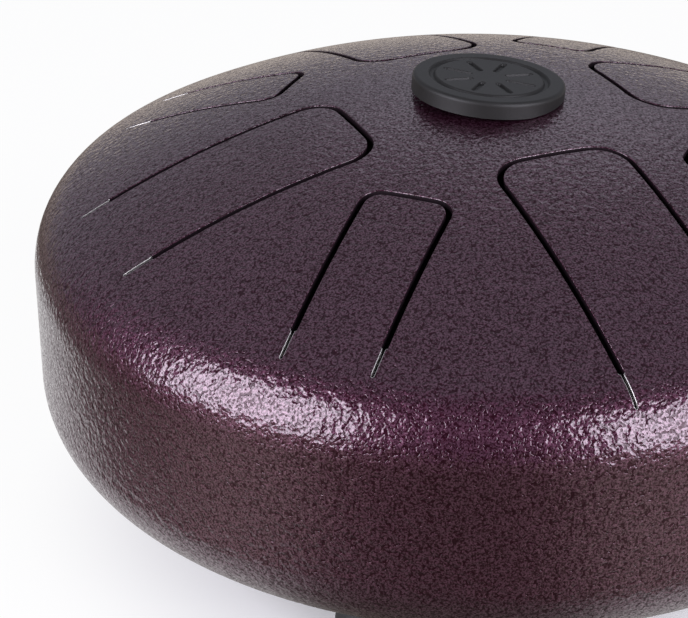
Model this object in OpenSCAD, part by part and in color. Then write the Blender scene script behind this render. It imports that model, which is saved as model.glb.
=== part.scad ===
// Steel tongue drum: two dished steel heads welded rim to rim, with eight tongues cut in the upper one.
// The origin is on the floor under the middle of the drum, +Z is up, and the longest tongue points to -Y.

/* [Body] */
// Outside diameter of the drum
shell_d = 304.8; // [260:0.2:360]
// Outside radius of each head's dished crown
crown_r = 304.8; // [240:0.2:400]
// Outside radius of the knuckle between the crown and the side wall
knuckle_r = 25.4; // [16:0.2:40]
// Height of each head's straight side wall
flange_h = 19; // [8:0.5:40]
// Thickness of the steel
wall = 2; // [1.2:0.1:3]
// Gap between the two heads that the weld fills
weld_gap = 1.6; // [1:0.1:3]

/* [Tongues] */
// Width of the four large tongues, between the middles of their slots
large_tongue_w = 45.2; // [36:0.2:52]
// Width of the four small tongues, between the middles of their slots
small_tongue_w = 28.2; // [20:0.2:34]
// Radius of a large tongue's corners, at the middle of the slot
large_corner_r = 10.8; // [4:0.1:14]
// Radius of a small tongue's corners, at the middle of the slot
small_corner_r = 5.9; // [3:0.1:9]
// Width of the slot round each tongue
slot_w = 2; // [1.2:0.1:3]
// Width of the finer cuts that carry the slot on, made after coating to tune the tongue
tuning_w = 0.9; // [0.5:0.1:1.1]
// Length of the tuning cuts
tuning_l = 9.5; // [5:0.5:12]
// Slit along the line where a tongue bends, which lets the solid tongue rock as the steel flexes
root_slit = 0.03; // [0.03:0.01:0.1]

/* [Centre plug] */
// Diameter of the rubber plug
plug_d = 50.8; // [44:0.2:60]
// Thickness of the plug's disc
plug_h = 5.6; // [4:0.1:9]
// Height of the middle of its top above the top of the drum
plug_rise = 4.8; // [3.4:0.1:6]
// Radius of its rounded top edge
plug_edge_r = 1.4; // [0.5:0.1:2.5]
// Lean of the plug, which sits proud on one side
plug_lean = 5; // [0:0.5:6]
// Direction in which it leans down, counted from +X
plug_lean_dir = 8; // [0:1:359]
// Diameter of the hole in the drum for the plug's stem
plug_hole_d = 13; // [11:0.5:18]
// Play between the stem and the edge of the hole
stem_gap = 1.2; // [0.5:0.1:2]
// Reach of the barb past the edge of the hole, which holds the plug from inside
barb_grip = 2; // [1:0.1:4]
// Height of the barb
barb_h = 7; // [5:0.5:10]
// Diameter of the stem's blunt end
barb_tip_d = 6; // [4:0.5:8]
// Depth of the grooves moulded in the plug's top
groove_h = 0.9; // [0.4:0.1:1.5]
// Width of those grooves
groove_w = 1.8; // [1:0.1:2.5]
// Distance from the edge of the plug to the middle of the round groove
groove_edge = 6.4; // [4:0.2:8]
// Distance from the middle of the round groove to the outer ends of the short ones
stroke_edge = 4; // [2.5:0.5:5]
// Length of the eight short grooves, which point at the tongues
stroke_l = 8; // [5:0.5:9]

/* [Underside] */
// Diameter of the sound port in the middle of the lower head
port_d = 50.8; // [30:0.2:80]
// Distance from the drum's axis to the place where each foot is fixed
foot_reach = 95; // [75:1:110]
// Diameter of the rubber feet
foot_d = 25; // [18:0.5:28]
// Height of the rubber
foot_h = 18; // [16:0.5:24]
// How much larger the radius of the foot's domed end is than the foot's own
foot_dome_extra = 1.5; // [0.2:0.1:1.9]
// Depth to which the dome is flattened where it stands
foot_flat = 0.8; // [0.4:0.1:1.5]
// Thickness of the steel plate that the rubber is bonded to
plate_h = 2; // [1:0.5:3]
// Diameter of the threaded stud on that plate
stud_d = 6; // [5:0.5:8]
// Length of the stud
stud_l = 16; // [13:0.5:20]
// Outside diameter of the washer
washer_d = 18; // [14:0.5:22]
// Thickness of the washer
washer_h = 1; // [0.5:0.1:2]
// Outside diameter of the rivet nut's body
nut_d = 9; // [8.6:0.1:12]
// Length of the rivet nut below its flange
nut_l = 12; // [10:0.5:14]
// Width of the rivet nut's flange, beyond the body
nut_flange_w = 2; // [1.5:0.1:3]
// Thickness of the flange
nut_flange_h = 0.8; // [0.5:0.1:1.5]
// Reach of the bulge that grips the steel from inside, beyond the body
nut_bulge_w = 1.7; // [1:0.1:2.5]
// Length of the bulge
nut_bulge_l = 3; // [2:0.5:4]

/* [Clearances] */
// Gap between the rubber plug and the steel that it sits on
seat_gap = 0.3; // [0.2:0.05:0.5]
// Gap between the rivet nut and the steel round it and behind its bulge
nut_gap = 0.1; // [0.1:0.05:0.2]
// Gap between the stud and the rings that it passes through
thread_gap = 0.1; // [0.05:0.05:0.2]

/* [Hidden] */
// Distance that a cutting shape runs past what it cuts
overrun = 1;
// Segments in a full circle
$fn = 180;

// The tongues run round the drum counterclockwise from the longest, large and small by turns.
tongue_n = 8;
tongue_step = 360 / tongue_n;
first_tongue_a = -90;
// Distance from the axis to the slot at each tongue's inner end, as a share of the drum's radius
tongue_start_shares = [0.309, 0.459, 0.308, 0.44, 0.318, 0.469, 0.316, 0.465];
// Distance from the axis to the line where each tongue bends, as a share of the drum's radius
tongue_root_shares = [0.94, 0.827, 0.919, 0.866, 0.853, 0.841, 0.877, 0.902];

foot_n = 4;
foot_step = 360 / foot_n;
first_foot_a = -45;

steel_violet = [0.25, 0.18, 0.24];
steel_bare = [0.72, 0.73, 0.75];
rubber_black = [0.16, 0.17, 0.17];

// A head is part of a large sphere, the crown, joined by a small torus, the knuckle, to a straight wall.
// Heights of a head are counted from the seam, towards its crown.
shell_r = shell_d / 2;
knuckle_x = shell_r - knuckle_r;
crown_drop = sqrt(pow(crown_r - knuckle_r, 2) - pow(knuckle_x, 2));
// The crown sits this much lower than true tangency needs, so that it and the knuckle cross cleanly.
crown_sink = 0.02;
crown_z = flange_h - crown_drop - crown_sink;
crown_a = asin(knuckle_x / (crown_r - knuckle_r));
head_h = crown_z + crown_r;

// Each foot's parts stand on the lower crown, square to it, and are stacked outwards from its surface.
foot_a = asin(foot_reach / crown_r);
washer_z = nut_flange_h;
plate_z = washer_z + washer_h;
rubber_z = plate_z + plate_h;
foot_dome_r = foot_d / 2 + foot_dome_extra;
foot_dome_z = rubber_z + foot_h - foot_dome_r;

// The feet's flattened domes stand on the floor, which gives the height of the seam.
lower_crown_z = (crown_r + foot_dome_z) * cos(foot_a) + foot_dome_r - foot_flat;
seam_z = lower_crown_z + crown_z;
upper_crown_z = seam_z + crown_z;
top_z = seam_z + head_h;

// The plug's stem and barb follow the hole that they pass through.
stem_d = plug_hole_d - 2 * stem_gap;
barb_d = plug_hole_d + 2 * barb_grip;
groove_ring_r = plug_d / 2 - groove_edge;

// Size and place of a tongue, by its number, with its places rounded to hundredths
function tongue_a(i) = first_tongue_a + tongue_step * (i - 1);
function is_large(i) = i % 2 == 1;
function half_w(i) = (is_large(i) ? large_tongue_w : small_tongue_w) / 2;
function corner_r(i) = is_large(i) ? large_corner_r : small_corner_r;
function hundredths(x) = round(100 * x) / 100;
function start_x(i) = hundredths(shell_r * tongue_start_shares[i - 1]);
function root_x(i) = hundredths(shell_r * tongue_root_shares[i - 1]);
function slot_end_x(i) = root_x(i) - tuning_l;

// Half section of a head's outer face, or of its inner one where t is the steel's thickness, from z0 up.
// The wedge that bounds the crown runs up through the middle of the knuckle, where the two arcs meet.
module head_outline(t, z0) {
    clear_z = head_h + overrun;
    translate([0, z0]) square([shell_r - t, flange_h - z0]);
    intersection() {
        translate([knuckle_x, flange_h]) circle(knuckle_r - t);
        translate([0, flange_h]) square([shell_r, knuckle_r]);
    }
    intersection() {
        translate([0, crown_z]) circle(crown_r - t);
        polygon([[0, z0], [knuckle_x, z0], [knuckle_x, flange_h],
            [knuckle_x + (clear_z - flange_h) * tan(crown_a), clear_z], [0, clear_z]]);
    }
}

// Cross-section of a head: straight wall, knuckle and crown
module head_section() {
    difference() {
        head_outline(0, weld_gap / 2);
        head_outline(wall, -overrun);
    }
}

module upper_head() {
    translate([0, 0, seam_z]) rotate_extrude() head_section();
}

module lower_head() {
    translate([0, 0, seam_z]) mirror([0, 0, 1]) rotate_extrude() head_section();
}

// Plate that ends at x1 and has two round corners at its other end, x0
module rounded_end(x0, x1, half, r) {
    translate([x1, 0]) {
        translate([x0 + r - x1, -half]) square([x1 - x0 - r, 2 * half]);
        translate([x0 - x1, r - half]) square([x1 - x0, 2 * (half - r)]);
        for (side = [-1, 1]) translate([x0 + r - x1, side * (half - r)]) circle(r);
    }
}

// Both ends of a tongue's slot, seen from above: a round end, and a finer tuning cut that goes on from it.
// What ends at the root is placed from the root, so that all of it ends on the same line.
module slot_ends(i) {
    cut_l = tuning_l + slot_w / 2;
    for (side = [-1, 1]) translate([root_x(i), side * half_w(i)]) {
        translate([-tuning_l, 0]) circle(d = slot_w);
        translate([-cut_l, -tuning_w / 2]) square([cut_l, tuning_w]);
        circle(d = tuning_w);
    }
}

// The slot round a tongue: a U with its two ends
module slot_outline(i) {
    edge = slot_w / 2;
    difference() {
        rounded_end(start_x(i) - edge, slot_end_x(i), half_w(i) + edge, corner_r(i) + edge);
        rounded_end(start_x(i) + edge, slot_end_x(i) + overrun, half_w(i) - edge, corner_r(i) - edge);
    }
    slot_ends(i);
}

// The window that a tongue and its slot leave in the head
module window_outline(i) {
    edge = slot_w / 2;
    inside_l = tuning_l + overrun;
    rounded_end(start_x(i) - edge, slot_end_x(i), half_w(i) + edge, corner_r(i) + edge);
    translate([root_x(i), 0]) translate([-inside_l, -half_w(i)]) square([inside_l, 2 * half_w(i)]);
    slot_ends(i);
}

// A tongue, seen from above: the steel inside its slot, as far as the slit at its root
module tongue_outline(i) {
    difference() {
        rounded_end(start_x(i), root_x(i) - root_slit, half_w(i), corner_r(i));
        slot_outline(i);
    }
}

// Carries an outline up through the upper head, at a tongue's place round the drum
module through_upper_head(i) {
    translate([0, 0, seam_z]) rotate(tongue_a(i)) linear_extrude(head_h + overrun) children();
}

// Places a foot's part on the lower crown, with +Z along the foot's axis and away from the drum
module at_foot(i) {
    rotate(first_foot_a + foot_step * (i - 1))
        translate([0, 0, lower_crown_z])
            rotate([0, 180 - foot_a, 0])
                translate([0, 0, crown_r])
                    children();
}

// Tips the plug about the top of the drum, without turning it
module leaning() {
    translate([0, 0, top_z])
        rotate(plug_lean_dir)
            rotate([0, plug_lean, 0])
                rotate(-plug_lean_dir)
                    children();
}

// Round section with a rounded upper outer edge, for the plug's disc
module disc_section(r, z0, z1, edge_r) {
    translate([0, z0]) square([r, z1 - z0 - edge_r]);
    translate([0, z0]) square([r - edge_r, z1 - z0]);
    translate([r - edge_r, z1 - edge_r]) circle(edge_r);
}

// The upper head, with a window for each tongue and a hole for the plug's stem
module top_shell() {
    color(steel_violet) difference() {
        upper_head();
        for (i = [1:tongue_n]) through_upper_head(i) window_outline(i);
        translate([0, 0, top_z - wall - overrun]) cylinder(d = plug_hole_d, h = wall + 2 * overrun);
    }
}

// A tongue is the steel left inside its slot, as far as the line where it bends
module tongue(i) {
    color(steel_violet) intersection() {
        upper_head();
        through_upper_head(i) tongue_outline(i);
    }
}

// The weld is ground flush outside and leaves a rounded bead inside
module seam_weld() {
    color(steel_violet) translate([0, 0, seam_z]) rotate_extrude() {
        translate([shell_r - wall, -weld_gap / 2]) square([wall, weld_gap]);
        translate([shell_r - wall, 0]) circle(weld_gap / 2);
    }
}

// The lower head, with the sound port and a hole for each rivet nut
module bottom_shell() {
    color(steel_violet) difference() {
        lower_head();
        translate([0, 0, seam_z - head_h - overrun]) cylinder(d = port_d, h = head_h);
        for (i = [1:foot_n]) at_foot(i) translate([0, 0, -wall - overrun])
            cylinder(d = nut_d + 2 * nut_gap, h = wall + 2 * overrun);
    }
}

// Grooves in the top of the plug: a round one, and within it a short one towards each tongue
module plug_grooves() {
    translate([0, 0, plug_rise - groove_h]) {
        rotate_extrude() translate([groove_ring_r - groove_w / 2, 0]) square([groove_w, groove_h + overrun]);
        for (i = [1:tongue_n]) rotate(tongue_a(i)) translate([groove_ring_r - stroke_edge, 0])
            linear_extrude(groove_h + overrun) {
                translate([-stroke_l, -groove_w / 2]) square([stroke_l, groove_w]);
                for (x = [0, -stroke_l]) translate([x, 0]) circle(d = groove_w);
            }
    }
}

// Rubber plug: a disc that rests on the crown, and a stem whose barb snaps in behind the hole
module centre_plug() {
    barb_top = barb_d * sin(plug_lean) - wall;
    barb_base = -wall - barb_h;
    stem_base = barb_base + barb_h / 2;
    color(rubber_black) {
        difference() {
            leaning() rotate_extrude() disc_section(plug_d / 2, plug_rise - plug_h, plug_rise, plug_edge_r);
            leaning() plug_grooves();
            translate([0, 0, upper_crown_z]) sphere(crown_r + seat_gap);
        }
        leaning() translate([0, 0, stem_base]) cylinder(d = stem_d, h = plug_rise / 2 - stem_base);
        intersection() {
            leaning() rotate_extrude()
                polygon([[0, barb_base], [barb_tip_d / 2, barb_base], [barb_d / 2, stem_base],
                    [barb_d / 2, barb_top], [0, barb_top]]);
            translate([0, 0, upper_crown_z]) sphere(crown_r - wall - seat_gap);
        }
    }
}

// Domed rubber foot, flattened where it stands on the floor
module foot(i) {
    color(rubber_black) intersection() {
        at_foot(i) intersection() {
            translate([0, 0, rubber_z]) cylinder(d = foot_d, h = foot_h);
            union() {
                translate([0, 0, foot_dome_z]) sphere(foot_dome_r);
                translate([0, 0, rubber_z]) cylinder(d = foot_d, h = foot_dome_z - rubber_z);
            }
        }
        translate([-shell_r, -shell_r, 0]) cube([shell_d, shell_d, seam_z]);
    }
}

// Steel plate with a threaded stud, bonded to the rubber
module foot_stud(i) {
    color(steel_bare) at_foot(i) {
        translate([0, 0, plate_z]) cylinder(d = foot_d, h = plate_h);
        translate([0, 0, plate_z - stud_l]) cylinder(d = stud_d, h = stud_l + plate_h / 2);
    }
}

// Washer between the plate and the rivet nut
module foot_washer(i) {
    color(steel_bare) at_foot(i) difference() {
        translate([0, 0, washer_z]) cylinder(d = washer_d, h = washer_h);
        translate([0, 0, washer_z - overrun])
            cylinder(d = stud_d + 2 * thread_gap, h = washer_h + 2 * overrun);
    }
}

// Rivet nut: a flange outside the steel, a threaded body through it and a bulge that grips it from inside
module rivet_nut(i) {
    bulge_z = -wall - nut_gap - nut_bulge_l;
    color(steel_bare) at_foot(i) difference() {
        union() {
            cylinder(d = nut_d + 2 * nut_flange_w, h = nut_flange_h);
            translate([0, 0, -nut_l]) cylinder(d = nut_d, h = nut_l + nut_flange_h / 2);
            translate([0, 0, bulge_z]) cylinder(d = nut_d + 2 * nut_bulge_w, h = nut_bulge_l);
        }
        translate([0, 0, -nut_l - overrun])
            cylinder(d = stud_d + 2 * thread_gap, h = nut_l + nut_flange_h + 2 * overrun);
    }
}

top_shell();
for (i = [1:tongue_n]) tongue(i);
seam_weld();
bottom_shell();
centre_plug();
for (i = [1:foot_n]) foot(i);
for (i = [1:foot_n]) foot_stud(i);
for (i = [1:foot_n]) foot_washer(i);
for (i = [1:foot_n]) rivet_nut(i);
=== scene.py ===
import math

import bpy
import numpy as np
from mathutils import Matrix, Vector


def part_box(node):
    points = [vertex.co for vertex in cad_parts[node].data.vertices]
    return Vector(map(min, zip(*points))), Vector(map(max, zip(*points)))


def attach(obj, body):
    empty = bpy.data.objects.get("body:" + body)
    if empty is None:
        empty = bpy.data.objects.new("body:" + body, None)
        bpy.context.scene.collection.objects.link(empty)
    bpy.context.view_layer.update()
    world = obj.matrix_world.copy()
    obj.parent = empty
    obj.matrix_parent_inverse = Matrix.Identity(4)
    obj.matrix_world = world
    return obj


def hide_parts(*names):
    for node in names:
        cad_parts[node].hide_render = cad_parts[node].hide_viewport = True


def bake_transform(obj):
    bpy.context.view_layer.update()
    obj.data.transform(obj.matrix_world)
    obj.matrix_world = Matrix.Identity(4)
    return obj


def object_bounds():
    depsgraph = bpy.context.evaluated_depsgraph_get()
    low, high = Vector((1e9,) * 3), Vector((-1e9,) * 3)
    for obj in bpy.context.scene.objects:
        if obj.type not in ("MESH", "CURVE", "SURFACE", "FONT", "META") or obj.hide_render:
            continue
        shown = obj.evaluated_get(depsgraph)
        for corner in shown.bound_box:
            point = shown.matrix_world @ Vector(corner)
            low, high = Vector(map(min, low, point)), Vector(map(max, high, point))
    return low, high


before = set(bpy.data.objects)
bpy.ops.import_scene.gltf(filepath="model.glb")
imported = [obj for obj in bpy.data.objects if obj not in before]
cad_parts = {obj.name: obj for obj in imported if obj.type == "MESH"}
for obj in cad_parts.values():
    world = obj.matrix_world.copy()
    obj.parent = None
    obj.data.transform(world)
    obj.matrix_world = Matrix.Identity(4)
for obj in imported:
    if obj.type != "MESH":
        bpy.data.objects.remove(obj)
cad_low, cad_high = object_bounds()

# Upper head.
# The real one is a dished tank head, pressed from 2 mm steel: a crown, a tight knuckle and a straight wall.
# A laser cuts a U-shaped slot round each tongue, and the coat then covers all but the finer tuning cuts.
MM = 0.001
MICRON = 1e-6
weld_low, weld_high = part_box("seam_weld")
head_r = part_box("top_shell")[1].x
seam_z = (weld_low.z + weld_high.z) / 2
rim_h = weld_high.z - seam_z
crown_r = 2 * head_r
knuckle_r = 25.4 * MM
wall_h = 19 * MM
steel = 2 * MM
knuckle_x = head_r - knuckle_r
crown_a = math.asin(knuckle_x / (crown_r - knuckle_r))
crown_z = wall_h - (crown_r - knuckle_r) * math.cos(crown_a)
apex_z = seam_z + crown_z + crown_r

tongue_n = 8
tongue_step = 2 * math.pi / tongue_n
first_tongue_a = math.radians(-90)
tongue_start_shares = [0.309, 0.459, 0.308, 0.44, 0.318, 0.469, 0.316, 0.465]
tongue_root_shares = [0.94, 0.827, 0.919, 0.866, 0.853, 0.841, 0.877, 0.902]
large_half_w = 22.6 * MM
small_half_w = 14.1 * MM
large_corner_r = 10.8 * MM
small_corner_r = 5.9 * MM
slot_half = 1 * MM
tuning_half = 0.45 * MM
tuning_l = 9.5 * MM
plug_hole_r = 6.5 * MM

# The slots' edges are dressed before coating, which leaves them rounded. The tuning cuts are made after it,
# and their edges are only broken with a file. An edge has a row of points at each of these turns, in degrees,
# round its outer and its inner rounding. From first_deep_row of its faces on, the coat is painted nearly
# black: painted shade.
slot_edge_r = 0.35 * MM
tuning_edge_r = 0.18 * MM
inner_edge_share = 0.4
outer_turns = (0, 18, 36, 54, 72, 90)
inner_turns = (90, 120, 150, 180)
first_deep_row = 4

# The plate round each window runs from inner_ring_r to outer_ring_r, and its sides share the plate between
# neighbours: a large tongue has this angle to each side of it, at the inner end and at the outer end.
# A collar follows each slot closely. Two more rings lie level with the slots' corners and their tuning cuts.
inner_ring_r = 40 * MM
corner_ring_r = 65 * MM
cut_ring_r = 128 * MM
outer_ring_r = 148.5 * MM
large_share_in = math.radians(30)
large_share_out = math.radians(24)
collar_w = 1.5 * MM
collar_turn = 35
collar_rows, border_rows = 3, 14
knuckle_steps, wall_steps = 24, 7

# The steps along half a window or tongue: its inner end, corner, slot, the slot's round end, the tuning cut,
# the cut's round end and the root. A window's border has as many: inner arc, side and outer arc. The knots
# say at which step the side passes each ring, and at which the outer arc passes the root, with a margin.
inner_steps, corner_steps, slot_steps, meet_steps, cut_steps, end_steps, root_steps = 7, 10, 40, 4, 8, 9, 12
border_in, border_side, border_out = 12, 57, 21
side_knots = (0, 5, 45, border_side)
out_knots = (0, 6, 9, border_out)
root_margin = 1.25

# The places of the finishes in a piece's list of materials; the last is painted shade on the slot walls.
COAT, INSIDE, CUT, SLOT_SHADE = 0, 1, 2, 3

# Points are joined where they round to the same count of microns. JOIN_SHIFT keeps round sizes off the limit
# between two counts.
JOIN_SHIFT = 0.137


def crown_or_knuckle(r, depth):
    """Height over the seam and the sine of the normal's lean, for the face at this depth under the outer one.
    Crown: a sphere, z = c + sqrt((R - d)^2 - r^2). Knuckle: a torus, z = w + sqrt((k - d)^2 - (r - x)^2)."""
    crown, knuckle = crown_r - depth, knuckle_r - depth
    on_crown = r < crown * math.sin(crown_a)
    across = np.clip(r - knuckle_x, 0, knuckle)
    height = np.where(on_crown, crown_z + np.sqrt(np.maximum(crown ** 2 - r ** 2, 0)),
                      wall_h + np.sqrt(knuckle ** 2 - across ** 2))
    return height, np.where(on_crown, r / crown, across / knuckle)


def on_head(plan, depth, up):
    """Points and outward normals of that face over points of the plan. up is 1 for the upper head, and -1 for
    the lower one, which is its mirror image in the seam."""
    r = np.hypot(plan[..., 0], plan[..., 1])
    height, lean = crown_or_knuckle(r, depth)
    points = np.concatenate([plan, (seam_z + up * height)[..., None]], -1)
    normals = np.concatenate([plan * (lean / np.maximum(r, MICRON))[..., None],
                              (up * np.sqrt(1 - lean ** 2))[..., None]], -1)
    return points, normals


def turned(plan, angle):
    """Points of the plan turned about the drum's axis: x cos a - y sin a, x sin a + y cos a."""
    c, s = math.cos(angle), math.sin(angle)
    return plan @ np.array([[c, s], [-s, c]])


def line(start, end, count):
    """count equal steps along a straight line, without its last point."""
    return np.array(start) + np.outer(np.arange(count) / count, np.subtract(end, start))


def arc(centre, r, start, end, count):
    """count equal steps along an arc from one angle to another, in degrees, without its last point."""
    a = np.radians(start + (end - start) * np.arange(count) / count)
    return np.array(centre) + r * np.stack([np.cos(a), np.sin(a)], -1)


def circle(r, angles):
    """Points at the radius or radii r: x = r cos a, y = r sin a."""
    return np.stack([r * np.cos(angles), r * np.sin(angles)], -1)


def blend_across(start, end, shares):
    """Rows of points from the row start to the row end, at these shares of the way: start (1 - t) + end t."""
    t = np.asarray(shares)[:, None, None]
    return start * (1 - t) + end * t


def away_from(loop):
    """Unit normals in the plan that point out of a closed outline, each square to the line between its
    point's neighbours. The outline runs clockwise, and its last point is its first."""
    ring = loop[:-1]
    along = np.roll(ring, -1, 0) - np.roll(ring, 1, 0)
    out = np.stack([-along[:, 1], along[:, 0]], -1)
    out /= np.linalg.norm(out, axis=1, keepdims=True)
    return np.concatenate([out, out[:1]])


def edge_rows(loop, out, round_r, up, into=1):
    """The edge of a plate along an outline: rounded from its outer face, straight down, and rounded to its
    inner face. Each rounding is a quarter circle of radius e: the point goes e (1 - sin f) back from the
    outline and e (1 - cos f) down. into is 1 where the steel lies outside the outline, as at a hole, and -1
    where it lies inside."""
    facing = np.concatenate([-into * out, np.zeros((len(out), 1))], -1)
    rows, leans = [], []
    for depth, e, turns in ((0, round_r, outer_turns), (steel, round_r * inner_edge_share, inner_turns)):
        for f in np.radians(turns):
            plan = loop + into * (e * (1 - math.sin(f)))[:, None] * out
            face, normal = on_head(plan, depth, up)
            drop = e * (1 - abs(math.cos(f)))
            face[:, 2] -= up * drop * (1 if depth == 0 else -1)
            lean = math.cos(f) * normal + math.sin(f) * facing
            rows.append(face)
            leans.append(lean / np.linalg.norm(lean, axis=1, keepdims=True))
    return np.array(rows), np.array(leans)


def edge_finish(bare):
    """The finish of each face of such an edge: bare steel, or the coat, which below the rounding is painted
    nearly black: painted shade.
    """
    row = np.arange(len(outer_turns) + len(inner_turns) - 1)[:, None]
    return np.where(bare, CUT, np.where(row >= first_deep_row, SLOT_SHADE, COAT))


def plate_round(loop, further, rows, round_r, up, bare):
    """The plate from an outline to the further lines round it, which have as many points: outer face, edge
    and inner face. From line to line a face is p = first + t (next - first), in so many rows. bare says
    which columns of the edge were cut after coating."""
    out = away_from(loop)
    faces = []
    for depth, share in ((0, 1), (steel, inner_edge_share)):
        first = loop + share * round_r[:, None] * out
        plan = [first[None]]
        for following, count in zip(further, rows):
            plan.append(blend_across(first, following, np.linspace(0, 1, count + 1)[1:]))
            first = following
        faces.append(on_head(np.concatenate(plan), depth, up))
    outer, inner = faces
    edge = edge_rows(loop, out, round_r, up)
    return [(*outer, COAT), (*edge, edge_finish(bare[:-1])), (inner[0], -inner[1], INSIDE)]


def spin(r, z, normal_r, normal_z, angles):
    """A half section carried round the drum's axis: x = r cos a, y = r sin a."""
    c, s, same = np.cos(angles), np.sin(angles), np.ones_like(angles)
    points = np.stack([np.outer(r, c), np.outer(r, s), np.outer(z, same)], -1)
    normals = np.stack([np.outer(normal_r, c), np.outer(normal_r, s), np.outer(normal_z, same)], -1)
    return points, normals


def rim_round(start_r, angles, up):
    """The rest of a head, from start_r out: knuckle and wall down to the rim at the weld, and back up inside.
    Knuckle: r = x + (k - d) sin a, z = w + (k - d) cos a, from the a where r = start_r to 90 degrees."""
    grids = []
    for depth, facing, finish in ((0, 1, COAT), (steel, -1, INSIDE)):
        bend = knuckle_r - depth
        first = math.asin((start_r - knuckle_x) / bend)
        a = np.linspace(first, math.pi / 2, knuckle_steps + 1)
        down = np.linspace(wall_h, rim_h, wall_steps + 1)[1:]
        lean = np.concatenate([a, np.full(wall_steps, math.pi / 2)])
        r = knuckle_x + bend * np.sin(lean)
        z = np.concatenate([wall_h + bend * np.cos(a), down])
        points, normals = spin(r, seam_z + up * z, np.sin(lean), up * np.cos(lean), angles)
        grids.append((points, facing * normals, finish))
    rim = np.array([head_r, head_r - steel])
    grids.append((*spin(rim, np.full(2, seam_z + up * rim_h), np.zeros(2), np.full(2, -up), angles), INSIDE))
    return grids


def make_piece(name, grids, materials):
    """A closed mesh from grids of points, each with its normals and the finish of its faces.
    Points that coincide are joined, each quad is turned to face the way its normals point, and a quad whose
    corners meet, as at a pole, becomes a triangle or is left out."""
    points = np.concatenate([p.reshape(-1, 3) for p, _, _ in grids])
    normals = np.concatenate([n.reshape(-1, 3) for _, n, _ in grids])
    quads, kinds, first = [], [], 0
    for p, _, finish in grids:
        index = first + np.arange(p.shape[0] * p.shape[1]).reshape(p.shape[:2])
        corners = (index[:-1, :-1], index[:-1, 1:], index[1:, 1:], index[1:, :-1])
        quads.append(np.stack(corners, -1).reshape(-1, 4))
        kinds.append(np.broadcast_to(finish, corners[0].shape).ravel())
        first += index.size
    quads, kinds = np.concatenate(quads), np.concatenate(kinds)
    counts = np.round(points / MICRON + JOIN_SHIFT)
    _, keep, joined = np.unique(counts, axis=0, return_index=True, return_inverse=True)
    joined = joined.ravel()
    p = points[quads]
    faces_out = (np.cross(p[:, 2] - p[:, 0], p[:, 3] - p[:, 1]) * normals[quads].sum(1)).sum(1)
    quads[faces_out < 0] = quads[faces_out < 0][:, ::-1]
    repeated = joined[quads] == joined[np.roll(quads, 1, 1)]
    whole = repeated.sum(1) == 0
    halved = repeated.sum(1) == 1
    three = quads[halved][~repeated[halved]].reshape(-1, 3)
    corners = np.concatenate([quads[whole].ravel(), three.ravel()])
    sides = np.concatenate([np.full(whole.sum(), 4), np.full(len(three), 3)])
    mesh = bpy.data.meshes.new(name)
    mesh.vertices.add(len(keep))
    mesh.vertices.foreach_set("co", points[keep].ravel())
    mesh.loops.add(len(corners))
    mesh.loops.foreach_set("vertex_index", joined[corners])
    mesh.polygons.add(len(sides))
    mesh.polygons.foreach_set("loop_start", np.cumsum(sides) - sides)
    mesh.polygons.foreach_set("material_index", np.concatenate([kinds[whole], kinds[halved]]))
    mesh.update(calc_edges=True)
    mesh.validate()
    mesh.shade_smooth()
    mesh.normals_split_custom_set(normals[corners])
    for material in materials:
        mesh.materials.append(material)
    piece = bpy.data.objects.new(name, mesh)
    bpy.context.scene.collection.objects.link(piece)
    return piece


def linear(code):
    """An sRGB hex colour as linear red, green, blue and alpha."""
    shares = [int(code[i:i + 2], 16) / 255 for i in (1, 3, 5)]
    return [s / 12.92 if s <= 0.04045 else ((s + 0.055) / 1.055) ** 2.4 for s in shares] + [1]


def node(tree, kind, inputs=None, **settings):
    """Adds a node to a tree with its settings. An input gets its value, or a link where a socket is given."""
    new = tree.nodes.new("ShaderNode" + kind)
    for key, value in settings.items():
        setattr(new, key, value)
    for key, value in (inputs or {}).items():
        if isinstance(value, bpy.types.NodeSocket):
            tree.links.new(value, new.inputs[key])
        else:
            new.inputs[key].default_value = value
    return new


def new_material(name):
    """A material with only its output, and that output's surface socket."""
    material = bpy.data.materials.new(name)
    material.use_nodes = True
    tree = material.node_tree
    tree.nodes.clear()
    return material, tree, node(tree, "OutputMaterial").inputs["Surface"]


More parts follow.
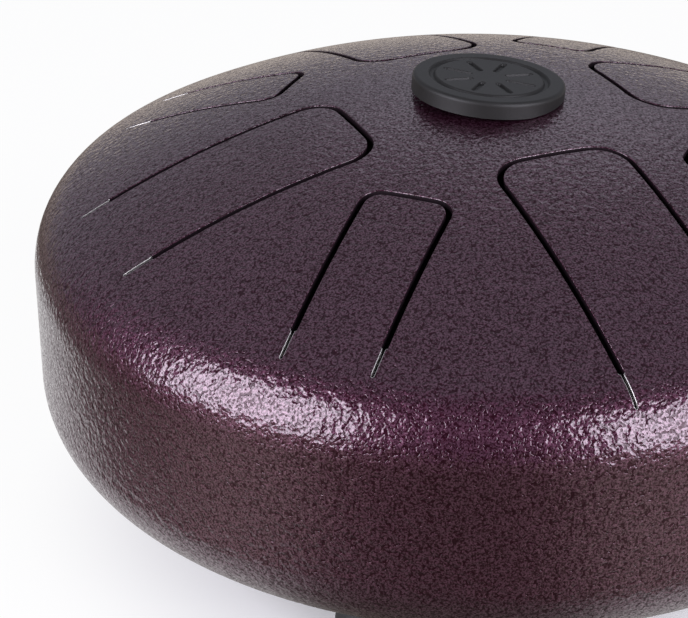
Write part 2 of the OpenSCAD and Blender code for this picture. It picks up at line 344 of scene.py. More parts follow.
def hammered_powder_coat():
    """Metallic violet powder coat with a hammered texture: metal flake under a clear, glossy skin. The skin
    lies in soft waves with small pits between them, where it is dull and the flake is painted darker, painted
    shade. The flake lies in clumps about half a millimetre wide, which show as a finer grain, and its tone
    clouds a little from place to place."""
    wave_gap, pit_gap, grain_gap, cloud_gap = 2.1 * MM, 0.9 * MM, 0.54 * MM, 60 * MM
    wave_h, pit_h = 0.38 * MM, 0.05 * MM
    material, tree, surface = new_material("hammered_powder_coat")
    place = node(tree, "TexCoord").outputs["Object"]
    waves = node(tree, "TexNoise", {"Vector": place, "Scale": 1 / wave_gap, "Detail": 1.0, "Roughness": 0.4})
    pits = node(tree, "TexNoise", {"Vector": place, "Scale": 1 / pit_gap, "Detail": 0.0})
    grain = node(tree, "TexNoise", {"Vector": place, "Scale": 1 / grain_gap, "Detail": 1.0})
    cloud = node(tree, "TexNoise", {"Vector": place, "Scale": 1 / cloud_gap, "Detail": 2.0})
    level = node(tree, "MapRange", {"Value": pits.outputs["Fac"], "From Min": 0.30, "From Max": 0.48},
                 interpolation_type="SMOOTHSTEP")
    height = node(tree, "Math", {0: waves.outputs["Fac"], 1: wave_h / pit_h, 2: level.outputs["Result"]},
                  operation="MULTIPLY_ADD")
    flake = node(tree, "MapRange", {"Value": grain.outputs["Fac"], "From Min": 0.38, "From Max": 0.62})
    # The flake's colour goes dark in the pits as well as with its grain: painted shade in the pits.
    bright = node(tree, "Math", {0: flake.outputs["Result"], 1: level.outputs["Result"]},
                  operation="MULTIPLY")
    colour = node(tree, "Mix", {"Factor": bright.outputs["Value"],
                                "A": linear("#2c0c1a"), "B": linear("#5d3a4c")}, data_type="RGBA")
    tone = node(tree, "MapRange", {"Value": cloud.outputs["Fac"], "To Min": 0.9, "To Max": 1.1})
    toned = node(tree, "VectorMath", {0: colour.outputs["Result"], "Scale": tone.outputs["Result"]},
                 operation="SCALE")
    on_flake = node(tree, "MapRange", {"Value": flake.outputs["Result"], "To Min": 0.55, "To Max": 1.0})
    off_pits = node(tree, "MapRange", {"Value": level.outputs["Result"], "To Min": 0.45, "To Max": 1.0})
    gloss = node(tree, "Math", {0: on_flake.outputs["Result"], 1: off_pits.outputs["Result"]},
                 operation="MULTIPLY")
    bump = node(tree, "Bump", {"Height": height.outputs["Value"], "Distance": pit_h})
    skin = node(tree, "BsdfPrincipled", {
        "Base Color": toned.outputs["Vector"], "Metallic": 0.8, "Roughness": 0.44, "Specular IOR Level": 0.0,
        "Specular Tint": linear("#f4eef2"), "Normal": bump.outputs["Normal"],
        "Coat Weight": gloss.outputs["Value"], "Coat Roughness": 0.10, "Coat IOR": 1.75,
        "Coat Normal": bump.outputs["Normal"]})
    tree.links.new(skin.outputs["BSDF"], surface)
    return material


def painted_slot_shade():
    """The slot walls below their rounding: the coat painted dull and nearly black, painted shade inside the
    slots.
    """
    mottle_gap = 0.8 * MM
    material, tree, surface = new_material("painted_slot_shade")
    place = node(tree, "TexCoord").outputs["Object"]
    mottle = node(tree, "TexNoise", {"Vector": place, "Scale": 1 / mottle_gap, "Detail": 2.0})
    colour = node(tree, "Mix", {"Factor": mottle.outputs["Fac"],
                                "A": linear("#0c0609"), "B": linear("#1e1018")}, data_type="RGBA")
    skin = node(tree, "BsdfPrincipled", {"Base Color": colour.outputs["Result"], "Roughness": 0.6,
                                         "Specular IOR Level": 0.2})
    tree.links.new(skin.outputs["BSDF"], surface)
    return material


def raw_steel():
    """Mild steel as rolled, left bare inside the drum: grey, dull, with mill scale in soft patches."""
    patch_gap = 14 * MM
    material, tree, surface = new_material("raw_steel")
    place = node(tree, "TexCoord").outputs["Object"]
    patches = node(tree, "TexNoise", {"Vector": place, "Scale": 1 / patch_gap, "Detail": 6.0})
    colour = node(tree, "Mix", {"Factor": patches.outputs["Fac"],
                                "A": linear("#2f2c2b"), "B": linear("#6a6663")}, data_type="RGBA")
    rough = node(tree, "MapRange", {"Value": patches.outputs["Fac"], "To Min": 0.45, "To Max": 0.7})
    skin = node(tree, "BsdfPrincipled", {"Base Color": colour.outputs["Result"], "Metallic": 0.9,
                                         "Roughness": rough.outputs["Result"]})
    tree.links.new(skin.outputs["BSDF"], surface)
    return material


def filed_steel():
    """Steel laid bare by the tuning cuts: bright, with the fine scratches of the file, which are drawn
    0.25 mm apart so that they show."""
    scratch_gap = 0.25 * MM
    scratch_h = 0.02 * MM
    material, tree, surface = new_material("filed_steel")
    place = node(tree, "TexCoord").outputs["Object"]
    scratches = node(tree, "TexNoise", {"Vector": place, "Scale": 1 / scratch_gap, "Detail": 2.0})
    colour = node(tree, "Mix", {"Factor": scratches.outputs["Fac"],
                                "A": linear("#b4b1ad"), "B": linear("#f0eeea")}, data_type="RGBA")
    bump = node(tree, "Bump", {"Height": scratches.outputs["Fac"], "Distance": scratch_h})
    skin = node(tree, "BsdfPrincipled", {"Base Color": colour.outputs["Result"], "Metallic": 1.0,
                                         "Roughness": 0.42, "Normal": bump.outputs["Normal"]})
    tree.links.new(skin.outputs["BSDF"], surface)
    return material


finishes = [hammered_powder_coat(), raw_steel(), filed_steel(), painted_slot_shade()]


def tongue_places(i):
    """Of tongue i: where its slot starts and where it bends, to a hundredth of a millimetre, half its width,
    and the radius of its corners. Large and small ones take turns."""
    large = i % 2 == 0
    start = round(head_r * tongue_start_shares[i], 5)
    root = round(head_r * tongue_root_shares[i], 5)
    return start, root, large_half_w if large else small_half_w, large_corner_r if large else small_corner_r


def closed(half):
    """A closed outline, clockwise, from its half on the +Y side, which starts and ends on the X axis."""
    return np.concatenate([half, half[-2::-1] * [1, -1]])


def slot_edge(i, side, grow=0, last=90):
    """Half the outline of tongue i's window (side 1) or of the tongue itself (side -1): the slot's two edges.
    It runs from the middle of the inner end round the corner, along the slot and its tuning cut, to the root.
    grow moves a window's outline away from the slot. last is its turn round the cut's end, in degrees."""
    start, root, half_w, corner = tongue_places(i)
    wide, narrow = slot_half + grow, tuning_half + grow
    slot, cut = side * wide, side * narrow
    meet = math.degrees(math.asin(narrow / wide))
    end = root - tuning_l
    cut_x = end + wide * math.cos(math.radians(meet))
    last_x = root + narrow * math.cos(math.radians(last))
    last_y = half_w - narrow * math.sin(math.radians(last))
    runs = [line((start - slot, 0), (start - slot, half_w - corner), inner_steps),
            arc((start + corner, half_w - corner), corner + slot, 180, 90, corner_steps),
            line((start + corner, half_w + slot), (end, half_w + slot), slot_steps),
            arc((end, half_w), wide, side * 90, side * meet, meet_steps),
            line((cut_x, half_w + cut), (root, half_w + cut), cut_steps)]
    if side > 0:
        runs.append(arc((root, half_w), narrow, 90, -last, end_steps))
    runs.append(line((last_x, last_y), (last_x, 0), root_steps))
    return np.concatenate([*runs, [[last_x, 0]]])


def edge_radius(loop, i):
    """How far the edge is rounded along an outline: as coated at the slot, less at the tuning cuts, and not
    at the root."""
    _, root, half_w, _ = tongue_places(i)
    end = root - tuning_l
    at_root = (loop[:, 0] > root - MICRON) & (np.abs(loop[:, 1]) < half_w - tuning_half + MICRON)
    along = np.interp(loop[:, 0], [end, end + slot_half], [slot_edge_r, tuning_edge_r])
    return np.where(at_root, 0, along)


def cut_bare(loop, i):
    """Which points of an outline lie on a tuning cut, where the steel is bare."""
    return loop[:, 0] > tongue_places(i)[1] - tuning_l + slot_half / 2


def sector_border(r, a_in, out_arc, n_in):
    """The border of a plate that is a sector of a head: an arc, a side through the radii r, an arc, and
    their mirror. out_arc holds the outer arc's angles, down to 0. The side turns evenly from a_in to them."""
    side = circle(r, np.linspace(a_in, out_arc[0], len(r)))
    front = arc((0, 0), r[0], 0, math.degrees(a_in), n_in)
    return closed(np.concatenate([front, side[:-1], circle(r[-1], out_arc)]))


def both_ways(out_arc):
    """The angles of an outer arc and its mirror in one run, without the last."""
    return np.concatenate([-out_arc, out_arc[-2:0:-1]])


def full_turn(parts):
    """The angles of all sectors in one run, closed with the first."""
    run = np.concatenate(parts)
    return np.append(run, run[0] + 2 * math.pi)


side_r = np.interp(np.arange(border_side + 1), side_knots,
                   (inner_ring_r, corner_ring_r, cut_ring_r, outer_ring_r))
upper_head, inner_angles, outer_angles = [], [], []
for i in range(tongue_n):
    turn = first_tongue_a + i * tongue_step
    share_in, share_out = large_share_in, large_share_out
    if i % 2:
        share_in, share_out = tongue_step - large_share_in, tongue_step - large_share_out
    outline = closed(slot_edge(i, 1))
    collar = closed(slot_edge(i, 1, grow=collar_w, last=collar_turn))
    _, root, half_w, _ = tongue_places(i)
    root_a = math.atan2(half_w - collar_w, root)
    out_arc = np.interp(np.arange(border_out + 1), out_knots, (share_out, root_margin * root_a, root_a, 0))
    border = sector_border(side_r, share_in, out_arc, border_in)
    further = [turned(collar, turn), turned(border, turn)]
    upper_head += plate_round(turned(outline, turn), further, (collar_rows, border_rows),
                              edge_radius(outline, i), 1, cut_bare(outline, i))
    inner_angles.append(turn + np.linspace(-share_in, share_in, 2 * border_in + 1)[:-1])
    outer_angles.append(turn + both_ways(out_arc))

clockwise = full_turn(inner_angles)[::-1]
upper_head += plate_round(circle(plug_hole_r, clockwise), [circle(inner_ring_r, clockwise)], (border_rows,),
                          np.full(len(clockwise), slot_edge_r), 1, np.zeros(len(clockwise), bool))
upper_head += rim_round(outer_ring_r, full_turn(outer_angles), 1)
top_shell = make_piece("drum_top_shell", upper_head, finishes)
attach(top_shell, "drum")
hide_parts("top_shell")


def between_edges(front, back, left, right):
    """A grid between four edges, which blends them: rows from front to back, columns from left to right.
    p = (1 - s) front + s back + (1 - t) left + t right, less the same blend of the four corners."""
    s = np.linspace(0, 1, len(left))[:, None, None]
    t = np.linspace(0, 1, len(front))[None, :, None]
    corners = (1 - s) * ((1 - t) * front[0] + t * front[-1]) + s * ((1 - t) * back[0] + t * back[-1])
    return ((1 - s) * front[None] + s * back[None]) + ((1 - t) * left[:, None] + t * right[:, None]) - corners


def cap(half, turn):
    """The face inside a tongue's outline, as such a grid from its inner end to its root. The grid's corners
    are the middles of the rounded corners and the ends of the root."""
    bend = inner_steps + corner_steps // 2
    end = len(half) - 1 - root_steps
    front, side, back = half[:bend + 1], half[bend:end + 1], half[end:]
    mirror = [1, -1]
    whole_front = np.concatenate([front[:0:-1] * mirror, front])
    whole_back = np.concatenate([(back * mirror)[:-1], back[::-1]])
    return turned(between_edges(whole_front, whole_back, side * mirror, side), turn)


for i in range(tongue_n):
    name = f"tongue_{i + 1}"
    turn = first_tongue_a + i * tongue_step
    half = slot_edge(i, -1)
    outline = closed(half)
    out, round_r = away_from(outline), edge_radius(outline, i)
    inset = (out * round_r[:, None])[:len(half)]
    outer_face = on_head(cap(half - inset, turn), 0, 1)
    inner_face = on_head(cap(half - inset * inner_edge_share, turn), steel, 1)
    edge = edge_rows(turned(outline, turn), turned(out, turn), round_r, 1, into=-1)
    bare = cut_bare(outline, i)
    grids = [(*outer_face, COAT), (*edge, edge_finish(bare[:-1] & bare[1:])),
             (inner_face[0], -inner_face[1], INSIDE)]
    tongue = make_piece("drum_" + name, grids, finishes)
    root = tongue_places(i)[1]
    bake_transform(tongue)
    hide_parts(name)

# Lower head.
# The same pressing as the upper one, turned over. It has the sound port in the middle
# and a hole for each of the four rivet nuts that hold the feet.
port_r = 25.4 * MM
port_edge_r = 2 * slot_edge_r
foot_n = 4
foot_reach = 95 * MM
foot_a = math.asin(foot_reach / crown_r)
nut_hole_r = 4.6 * MM
nut_edge_r = tuning_edge_r
first_foot_a = math.radians(-45)
foot_step = 2 * math.pi / foot_n
port_ring_r, foot_ring_r = 60 * MM, 139 * MM
foot_border_in, foot_border_side = 36, 30

# A nut's hole is a circle square to the crown, so it is foreshortened in the plan. Its points go round it in
# step with the border's: inner arc, side and outer arc.
foot_arc = np.linspace(foot_step / 2, 0, foot_border_in + 1)
foot_side_r = np.linspace(port_ring_r, foot_ring_r, foot_border_side + 1)
foot_border = sector_border(foot_side_r, foot_step / 2, foot_arc, foot_border_in)
hole_turns = np.radians(np.concatenate([np.linspace(180, 135, foot_border_in + 1)[:-1],
                                        np.linspace(135, 45, foot_border_side + 1)[:-1],
                                        np.linspace(45, 0, foot_border_in + 1)]))
nut_hole = closed((foot_reach, 0) + nut_hole_r * np.stack([np.cos(hole_turns) * math.cos(foot_a),
                                                           np.sin(hole_turns)], -1))
lower_head, foot_angles = [], []
for i in range(foot_n):
    turn = first_foot_a + i * foot_step
    lower_head += plate_round(turned(nut_hole, turn), [turned(foot_border, turn)], (border_rows,),
                              np.full(len(nut_hole), nut_edge_r), -1, np.zeros(len(nut_hole), bool))
    foot_angles.append(turn + both_ways(foot_arc))
foot_angles = full_turn(foot_angles)
clockwise = foot_angles[::-1]
lower_head += plate_round(circle(port_r, clockwise), [circle(port_ring_r, clockwise)], (border_rows,),
                          np.full(len(clockwise), port_edge_r), -1, np.zeros(len(clockwise), bool))
lower_head += rim_round(foot_ring_r, foot_angles, -1)
bottom_shell = make_piece("drum_bottom_shell", lower_head, finishes)
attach(bottom_shell, "drum")
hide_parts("bottom_shell")

# Seam weld.
# One bead right round joins the heads rim to rim. It is ground flush outside and vanishes under the coat;
# inside it is left as it was laid, a rounded bead with a ripple for each time the torch moved on.
bead_r = 0.8 * MM
ripple_h = 0.18 * MM
ripple_gap = 2.2 * MM
bead_steps, ripple_steps = 8, 8
ripple_n = round(2 * math.pi * head_r / ripple_gap)
weld_angles = np.linspace(0, 2 * math.pi, ripple_steps * ripple_n + 1)

# The bead is half a circle, and each ripple draws it in by half a sine wave.
ripple = 1 - ripple_h / bead_r * np.abs(np.sin(weld_angles * ripple_n / 2))
bead_turns = np.radians(np.linspace(90, 270, bead_steps + 1))
bead_out, bead_up = np.cos(bead_turns), np.sin(bead_turns)
reach = head_r - steel + bead_r * np.outer(bead_out, ripple)
bead = np.stack([reach * np.cos(weld_angles), reach * np.sin(weld_angles),
                 seam_z + bead_r * np.outer(bead_up, np.ones_like(weld_angles))], -1)
weld_grids = [(bead, spin(bead_out, bead_up, bead_out, bead_up, weld_angles)[1], INSIDE)]

# The ring's outer face, and its flat faces against the two heads.
for r, z, normal_r, normal_z, finish in (((head_r, head_r), (-rim_h, rim_h), 1, 0, COAT),
                                         ((head_r, head_r - steel), (rim_h, rim_h), 0, 1, INSIDE),
                                         ((head_r, head_r - steel), (-rim_h, -rim_h), 0, -1, INSIDE)):
    face = spin(np.array(r), seam_z + np.array(z), np.full(2, normal_r), np.full(2, normal_z), weld_angles)
    weld_grids.append((*face, finish))
weld = make_piece("drum_seam_weld", weld_grids, finishes)
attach(weld, "drum")
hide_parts("seam_weld")

# Rivet nuts, washers and foot studs.
# Zinc-plated mild steel: each nut is pulled tight into its hole, and its bulge grips the head from inside.
# The stud is bonded into the foot, screws into the nut and clamps the washer under it.


def zinc_plate():
    """Zinc plating with a clear chromate: bright grey, with a faint blue and straw tint in patches, and
    slightly dull from a fine grain, which is drawn 0.4 mm wide so that it shows."""
    patch_gap, grain_gap = 5 * MM, 0.4 * MM
    grain_h = 0.03 * MM
    material, tree, surface = new_material("zinc_plate")
    place = node(tree, "TexCoord").outputs["Object"]
    patches = node(tree, "TexNoise", {"Vector": place, "Scale": 1 / patch_gap, "Detail": 3.0})
    grain = node(tree, "TexNoise", {"Vector": place, "Scale": 1 / grain_gap, "Detail": 3.0})
    colour = node(tree, "Mix", {"Factor": patches.outputs["Fac"],
                                "A": linear("#9aa3ab"), "B": linear("#c9c4b6")}, data_type="RGBA")
    bump = node(tree, "Bump", {"Height": grain.outputs["Fac"], "Distance": grain_h})
    skin = node(tree, "BsdfPrincipled", {"Base Color": colour.outputs["Result"], "Metallic": 1.0,
                                         "Roughness": 0.32, "Normal": bump.outputs["Normal"]})
    tree.links.new(skin.outputs["BSDF"], surface)
    return material


def finish_cad(name, material):
    """Gives a CAD node that keeps its shape its finish."""
    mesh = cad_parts[name].data
    mesh.materials.clear()
    mesh.materials.append(material)


zinc = zinc_plate()
for i in range(foot_n):
    for part in ("rivet_nut", "foot_washer", "foot_stud"):
        finish_cad(f"{part}_{i + 1}", zinc)

# Feet.
# Four domed bumpers of black rubber, moulded round the plate of their stud. They carry the drum clear of
# the floor, so that the sound port can breathe.


def moulded_rubber(name, pale, dark, mottle_gap):
    """Black moulded rubber: matt, with a soft greyish bloom in patches and the fine tooth of the mould,
    which is drawn 0.35 mm wide so that it shows."""
    tooth_gap = 0.35 * MM
    tooth_h = 0.03 * MM
    material, tree, surface = new_material(name)
    place = node(tree, "TexCoord").outputs["Object"]
    mottle = node(tree, "TexNoise", {"Vector": place, "Scale": 1 / mottle_gap, "Detail": 4.0})
    tooth = node(tree, "TexNoise", {"Vector": place, "Scale": 1 / tooth_gap, "Detail": 2.0})
    colour = node(tree, "Mix", {"Factor": mottle.outputs["Fac"], "A": linear(dark), "B": linear(pale)},
                  data_type="RGBA")
    bump = node(tree, "Bump", {"Height": tooth.outputs["Fac"], "Distance": tooth_h})
    skin = node(tree, "BsdfPrincipled", {"Base Color": colour.outputs["Result"], "Roughness": 0.52,
                                         "Specular IOR Level": 0.4, "Normal": bump.outputs["Normal"]})
    tree.links.new(skin.outputs["BSDF"], surface)
    return material


foot_rubber = moulded_rubber("foot_rubber", "#2e2f30", "#1d1e1f", 6 * MM)
for i in range(foot_n):
    finish_cad(f"foot_{i + 1}", foot_rubber)

# Centre plug.
# A moulded disc of charcoal rubber that closes the hole in the middle of the drum. Its stem goes through
# the hole and a barb snaps in behind it, so it sits a little askew. Its top has plain grooves.
plug_r = 25.4 * MM
plug_h = 5.6 * MM
plug_rise = 4.8 * MM
plug_edge_r = 1.4 * MM
plug_lean = math.radians(5)
plug_lean_dir = math.radians(8)
seat_gap = 0.3 * MM
stem_r = 5.3 * MM
barb_r = 8.5 * MM
barb_tip_r = 3 * MM
barb_h = 7 * MM
groove_h = 0.9 * MM
groove_half = 0.9 * MM
groove_soft = 0.45 * MM
groove_ring_r = 19 * MM
stroke_out, stroke_in = 15 * MM, 7 * MM
RUBBER = 0
TINY = 1e-15
plug_steps, top_steps, edge_steps, side_steps, under_steps = 480, 81, 8, 6, 23
plug_angles = np.linspace(0, 2 * math.pi, plug_steps + 1)

# The middle of the crown's sphere, counted along the plug's own axis as all of the plug is.
sphere_centre = np.array(Matrix.Rotation(-plug_lean, 3, "Y") @ Vector((0, 0, -crown_r)))
sphere_centre = np.array(Matrix.Rotation(plug_lean_dir, 3, "Z")) @ sphere_centre


def from_leaning(points):
    """Points counted from the top of the drum along the plug's own axis, put where they are in the frame:
    leaned by plug_lean in the direction plug_lean_dir, and raised to apex_z."""
    turn = (Matrix.Translation((0, 0, apex_z)) @ Matrix.Rotation(plug_lean_dir, 4, "Z")
            @ Matrix.Rotation(plug_lean, 4, "Y") @ Matrix.Rotation(-plug_lean_dir, 4, "Z"))
    m = np.array(turn)
    return points @ m[:3, :3].T + m[:3, 3]


def groove_depth(x, y):
    """Depth of the grooves, which are a ring and a stroke towards each tongue: full within their width less
    a soft margin, and s s (3 - 2 s) of it across that margin. A point is |r - ring| from the middle of the
    ring, and from the middle of a stroke it is as far as from a straight segment."""
    r = np.hypot(x, y)
    distance = np.abs(r - groove_ring_r)
    for i in range(tongue_n):
        a = first_tongue_a + i * tongue_step
        along = x * math.cos(a) + y * math.sin(a)
        across = -x * math.sin(a) + y * math.cos(a)
        past = along - np.clip(along, stroke_in, stroke_out)
        distance = np.minimum(distance, np.hypot(past, across))
    share = np.clip((groove_half + groove_soft / 2 - distance) / groove_soft, 0, 1)
    return groove_h * share * share * (3 - 2 * share)


def surface_normals(points):
    """Normals of a grid of points that is closed in its second direction: the cross product of the steps
    between a point's neighbours, down and around."""
    down = np.gradient(points, axis=0)
    ring = points[:, :-1]
    around = np.roll(ring, -1, 1) - np.roll(ring, 1, 1)
    around = np.concatenate([around, around[:, :1]], 1)
    n = np.cross(down, around)
    length = np.linalg.norm(n, axis=-1, keepdims=True)
    return n / np.maximum(length, TINY)


def plug_rows(r, z):
    """Rows of points round the plug at these radii, x = r cos a, y = r sin a, with the heights z(x, y)."""
    x, y = np.outer(r, np.cos(plug_angles)), np.outer(r, np.sin(plug_angles))
    return np.stack([x, y, z(x, y)], -1)


def level_rows(r, heights):
    """Such rows with one height to each."""
    return plug_rows(r, lambda x, y: heights[:, None] + 0 * x)


def seat_height(x, y, gap):
    """Height of the crown's sphere, grown by gap: z = c + sqrt((R + gap)^2 - dx^2 - dy^2)."""
    square = (crown_r + gap) ** 2 - (x - sphere_centre[0]) ** 2 - (y - sphere_centre[1]) ** 2
    return sphere_centre[2] + np.sqrt(square)


def underside(x, y):
    """Height of the disc's underside: its flat base, or the gap over the crown where that is higher."""
    return np.maximum(seat_height(x, y, seat_gap), plug_rise - plug_h)


def barb_top(x, y):
    """Height of the barb's upper face, the gap under the inside of the head."""
    return seat_height(x, y, -steel - seat_gap)


top_r = np.linspace(0, plug_r - plug_edge_r, top_steps + 1)
plug_top = plug_rows(top_r, lambda x, y: plug_rise - groove_depth(x, y))
edge_turns = np.radians(np.linspace(0, 90, edge_steps + 1))
rolled = level_rows(plug_r - plug_edge_r * (1 - np.sin(edge_turns)),
                    plug_rise - plug_edge_r * (1 - np.cos(edge_turns)))
side_shares = np.linspace(0, 1, side_steps + 1)[1:-1, None]
side_top = plug_rise - plug_edge_r
side = plug_rows(np.full(side_steps - 1, plug_r),
                 lambda x, y: side_top + side_shares * (underside(x[0], y[0]) - side_top))
under = plug_rows(np.linspace(plug_r, stem_r, under_steps + 1), underside)
barb_upper = plug_rows(np.array([stem_r, barb_r]), barb_top)
barb_lower = level_rows(np.array([barb_r, barb_tip_r, 0]),
                        np.array([-steel - barb_h / 2, -steel - barb_h, -steel - barb_h]))
plug_grids = []
for rows in (plug_top, rolled, np.concatenate([rolled[-1:], side, under[:1]]), under,
             np.concatenate([under[-1:], barb_upper[:1]]), barb_upper,
             np.concatenate([barb_upper[-1:], barb_lower[:1]]), barb_lower):
    placed = from_leaning(rows)
    plug_grids.append((placed, surface_normals(placed), RUBBER))
plug_rubber = moulded_rubber("plug_rubber", "#1c1b1a", "#11100f", 9 * MM)
plug = make_piece("drum_centre_plug", plug_grids, [plug_rubber])
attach(plug, "drum")
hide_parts("centre_plug")

# Studio.
# The drum stands on a pale table that runs out of the picture. Two tall softboxes stand a little in front of
# it, one to each side, and leave the two long highlights on its knuckle. The room round it is dim.
view_azimuth = math.radians(-26.8)
softbox_spread = math.radians(52)
softbox_away = 1.3
softbox_w, softbox_h = 1.10, 1.20
softbox_base = 0.10
softbox_power = 30.0
table_half = 3.0
left_edge_way = Vector((1, 0.2, 0))
dim_azimuth = math.radians(-31)
dim_way = Vector((math.sin(dim_azimuth), -math.cos(dim_azimuth), 0))
window_az, window_el = math.radians(150), math.radians(31)
to_window = Vector((math.sin(window_az) * math.cos(window_el), -math.cos(window_az) * math.cos(window_el),
                    math.sin(window_el)))


def pale_table():
    """Pale laminate under a white board. The camera sees it white, with the drum's shadow: round the drum's
    foot its white glow fades out, a painted soft shadow, inside which the real shadow on the matt face shows.
    Reflections see a painted reflection: the board white, and the
    table past it dim: straight in front, where neither softbox's light is thrown back, and far to the left
    and behind. To bounce light and reflections the matt face is a dim warm grey, painted shade. Its places
    are in metres from the drum's axis."""
    own_white = 0.92
    material, tree, surface = new_material("pale_table")
    path = node(tree, "LightPath")
    place = node(tree, "TexCoord").outputs["Object"]
    back = node(tree, "NewGeometry").outputs["Backfacing"]
    axes = node(tree, "SeparateXYZ", {"Vector": place})
    leftward = node(tree, "VectorMath", {0: place, 1: left_edge_way},
                    operation="DOT_PRODUCT").outputs["Value"]
    left = node(tree, "MapRange", {"Value": leftward, "From Min": -0.218, "From Max": -0.206,
                                   "To Min": 0.0, "To Max": 1.0}, interpolation_type="SMOOTHSTEP")
    ahead = node(tree, "MapRange", {"Value": axes.outputs["Y"], "From Min": -0.215, "From Max": -0.185,
                                    "To Min": 0.0, "To Max": 1.0}, interpolation_type="SMOOTHSTEP")
    behind = node(tree, "MapRange", {"Value": axes.outputs["Y"], "From Min": 0.28, "From Max": 0.33,
                                     "To Min": 1.0, "To Max": 0.0}, interpolation_type="SMOOTHSTEP")
    strip = node(tree, "Math", {0: left.outputs["Result"], 1: behind.outputs["Result"]}, operation="MULTIPLY")
    # Where reflections see the table glow white: a painted reflection of the lit board.
    board = node(tree, "Math", {0: strip.outputs["Value"], 1: ahead.outputs["Result"]}, operation="MULTIPLY")
    fore = node(tree, "MapRange", {"Value": axes.outputs["Y"], "From Min": -0.12, "From Max": 0.06,
                                   "To Min": 0.62, "To Max": 0.12}, interpolation_type="SMOOTHSTEP")
    around = node(tree, "Math", {0: board.outputs["Value"], 1: fore.outputs["Result"]}, operation="MAXIMUM")
    level = node(tree, "VectorMath", {0: place, 1: (1, 1, 0)}, operation="MULTIPLY").outputs["Vector"]
    heading = node(tree, "VectorMath", {0: level}, operation="NORMALIZE").outputs["Vector"]
    to_front = node(tree, "VectorMath", {0: heading, 1: dim_way}, operation="DOT_PRODUCT").outputs["Value"]
    aside = node(tree, "MapRange", {"Value": to_front, "From Min": 0.84, "From Max": 0.99,
                                    "To Min": 1.0, "To Max": 0.12}, interpolation_type="SMOOTHSTEP")
    near = node(tree, "Math", {0: aside.outputs["Result"], 1: around.outputs["Value"]}, operation="MULTIPLY")
    side = node(tree, "MapRange", {"Value": axes.outputs["X"], "From Min": -0.3, "From Max": 0.1,
                                   "To Min": 0.3, "To Max": 0.85}, interpolation_type="SMOOTHSTEP")
    far = node(tree, "MapRange", {"Value": axes.outputs["Y"], "From Min": 0.35, "From Max": 0.6,
                                  "To Min": 0.0, "To Max": side.outputs["Result"]},
               interpolation_type="SMOOTHSTEP")
    pool = node(tree, "Math", {0: near.outputs["Value"], 1: far.outputs["Result"]}, operation="MAXIMUM")
    out = node(tree, "VectorMath", {0: level}, operation="LENGTH").outputs["Value"]
    # Near the drum the glow fades out to the matt face: a painted soft shadow round its foot.
    outside_painted_shadow = node(tree, "MapRange", {"Value": out, "From Min": 0.07, "From Max": 0.17,
                                       "To Min": 0.06, "To Max": 1.0}, interpolation_type="SMOOTHSTEP")
    mirrored = node(tree, "Math", {0: path.outputs["Is Glossy Ray"], 1: path.outputs["Is Transmission Ray"]},
                    operation="MAXIMUM")
    glossy = node(tree, "Math", {0: mirrored.outputs["Value"], 1: pool.outputs["Value"]},
                  operation="MULTIPLY")
    direct = node(tree, "Math", {0: path.outputs["Is Camera Ray"], 1: own_white}, operation="MULTIPLY")
    either = node(tree, "Math", {0: direct.outputs["Value"], 1: glossy.outputs["Value"]}, operation="MAXIMUM")
    share = node(tree, "Math", {0: either.outputs["Value"], 1: outside_painted_shadow.outputs["Result"]},
                 operation="MULTIPLY")
    # The matt face is white to the camera and a dim warm grey to bounce light and reflections: painted shade.
    colour = node(tree, "Mix", {"Factor": path.outputs["Is Camera Ray"],
                                "A": linear("#5c5344"), "B": linear("#fafafa")}, data_type="RGBA")
    matt = node(tree, "BsdfDiffuse", {"Color": colour.outputs["Result"]})
    warmth = node(tree, "Mix", {"Factor": board.outputs["Value"],
                                "A": linear("#f4e8dc"), "B": linear("#ffffff")}, data_type="RGBA")
    tint = node(tree, "Mix", {"Factor": path.outputs["Is Camera Ray"],
                              "A": warmth.outputs["Result"], "B": linear("#ffffff")}, data_type="RGBA")
    # The glow is emission, no lamp: the camera's even white, and the painted reflection that reflections see.
    glow = node(tree, "Emission", {"Color": tint.outputs["Result"], "Strength": 1.0})
    front = node(tree, "MixShader", {0: share.outputs["Value"], 1: matt.outputs["BSDF"],
                                     2: glow.outputs["Emission"]})
    clear = node(tree, "BsdfTransparent")
    both = node(tree, "MixShader", {0: back, 1: front.outputs["Shader"], 2: clear.outputs["BSDF"]})
    tree.links.new(both.outputs["Shader"], surface)
    return material


table_mesh = bpy.data.meshes.new("table")
table_corners = [(x * table_half, y * table_half, cad_low.z) for x, y in ((-1, -1), (1, -1), (1, 1), (-1, 1))]
table_mesh.from_pydata(table_corners, [], [(0, 1, 2, 3)])
table_mesh.materials.append(pale_table())
table = bpy.data.objects.new("table", table_mesh)
bpy.context.scene.collection.objects.link(table)

for side in (-1, 1):
    a = view_azimuth + side * softbox_spread
    lamp = bpy.data.lights.new("softbox", "AREA")
    lamp.shape = "RECTANGLE"
    lamp.size, lamp.size_y = softbox_w, softbox_h
    lamp.energy = softbox_power
    lamp.color = linear("#f4f2ff")[:3]
    softbox = bpy.data.objects.new("softbox", lamp)
    back = Vector((math.sin(a), -math.cos(a), 0))
    softbox.location = back * softbox_away + Vector((0, 0, softbox_base + softbox_h / 2))
    softbox.rotation_euler = (-back).to_track_quat("-Z", "Y").to_euler()
    bpy.context.scene.collection.objects.link(softbox)

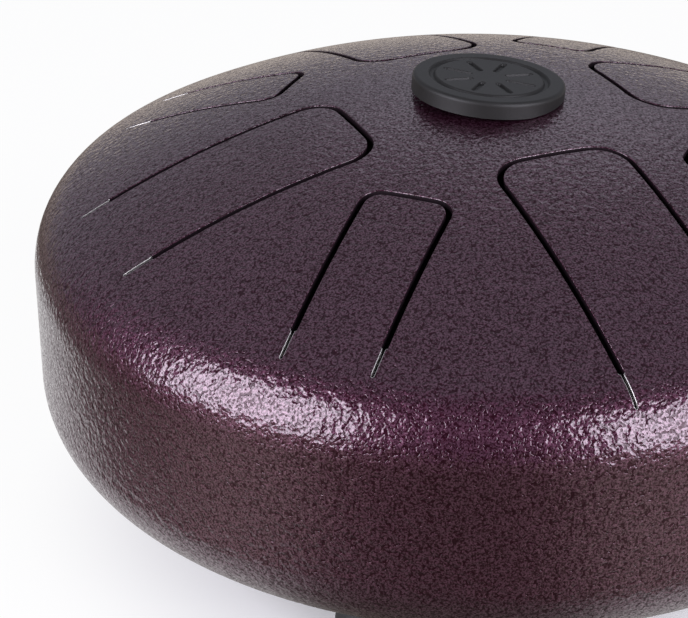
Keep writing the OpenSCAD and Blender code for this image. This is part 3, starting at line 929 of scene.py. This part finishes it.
# The room's walls grow paler towards a window high up behind the drum. The camera sees them white.
world = bpy.data.worlds.new("dim_room")
world.use_nodes = True
tree = world.node_tree
tree.nodes.clear()
path = node(tree, "LightPath")
facing = node(tree, "VectorMath", {0: node(tree, "TexCoord").outputs["Generated"], 1: to_window},
              operation="DOT_PRODUCT").outputs["Value"]
wall = node(tree, "MapRange", {"Value": facing, "From Min": 0.0, "From Max": 0.65,
                               "To Min": 0.10, "To Max": 0.43}, interpolation_type="SMOOTHSTEP")
window = node(tree, "MapRange", {"Value": facing, "From Min": 0.95, "From Max": 0.99,
                                 "To Min": 0.0, "To Max": 0.4}, interpolation_type="SMOOTHSTEP")
pale = node(tree, "Math", {0: wall.outputs["Result"], 1: window.outputs["Result"]}, operation="ADD")
room = node(tree, "Background", {"Color": linear("#f0f3ff"), "Strength": pale.outputs["Value"]})
white = node(tree, "Background", {"Color": (1, 1, 1, 1), "Strength": 1.0})
seen = node(tree, "MixShader", {0: path.outputs["Is Camera Ray"], 1: room.outputs["Background"],
                                2: white.outputs["Background"]})
tree.links.new(seen.outputs["Shader"], node(tree, "OutputWorld").inputs["Surface"])
bpy.context.scene.world = world

# Camera.
# A long lens that stands where the photograph was taken from, above the drum and to the left of its front.
# The top of the drum lies right of the middle and near the upper edge, and the picture leans a little.
image_w, image_h = 688, 618
focal_px = 2067.4
apex_px = (487.81, 90.73)
view_elevation = math.radians(21.70)
camera_away = 0.68945
picture_roll = 0.0319
sensor_w = 36.0

back = Vector((math.sin(view_azimuth) * math.cos(view_elevation),
               -math.cos(view_azimuth) * math.cos(view_elevation), math.sin(view_elevation)))
apex = Vector((0, 0, apex_z))
right = Vector((0, 0, 1)).cross(back).normalized()
down = right.cross(back)

# The camera first looks at the top of the drum with the picture level. It is then rolled about that line of
# sight, and turned until the top lies at apex_px.
towards_apex = Vector(((apex_px[0] - image_w / 2) / focal_px, (apex_px[1] - image_h / 2) / focal_px, 1))
aim = Vector((0, 0, 1)).rotation_difference(towards_apex).to_matrix()
level = Matrix((right, down, -back))
axes = aim @ Matrix.Rotation(picture_roll, 3, "Z") @ level
camera_data = bpy.data.cameras.new("camera")
camera_data.sensor_width = sensor_w
camera_data.lens = focal_px / image_w * sensor_w
camera = bpy.data.objects.new("camera", camera_data)
camera.matrix_world = (Matrix.Translation(apex + back * camera_away)
                       @ Matrix((axes[0], -axes[1], -axes[2])).transposed().to_4x4())
bpy.context.scene.collection.objects.link(camera)
bpy.context.scene.camera = camera
bpy.context.scene.view_settings.view_transform = "Standard"
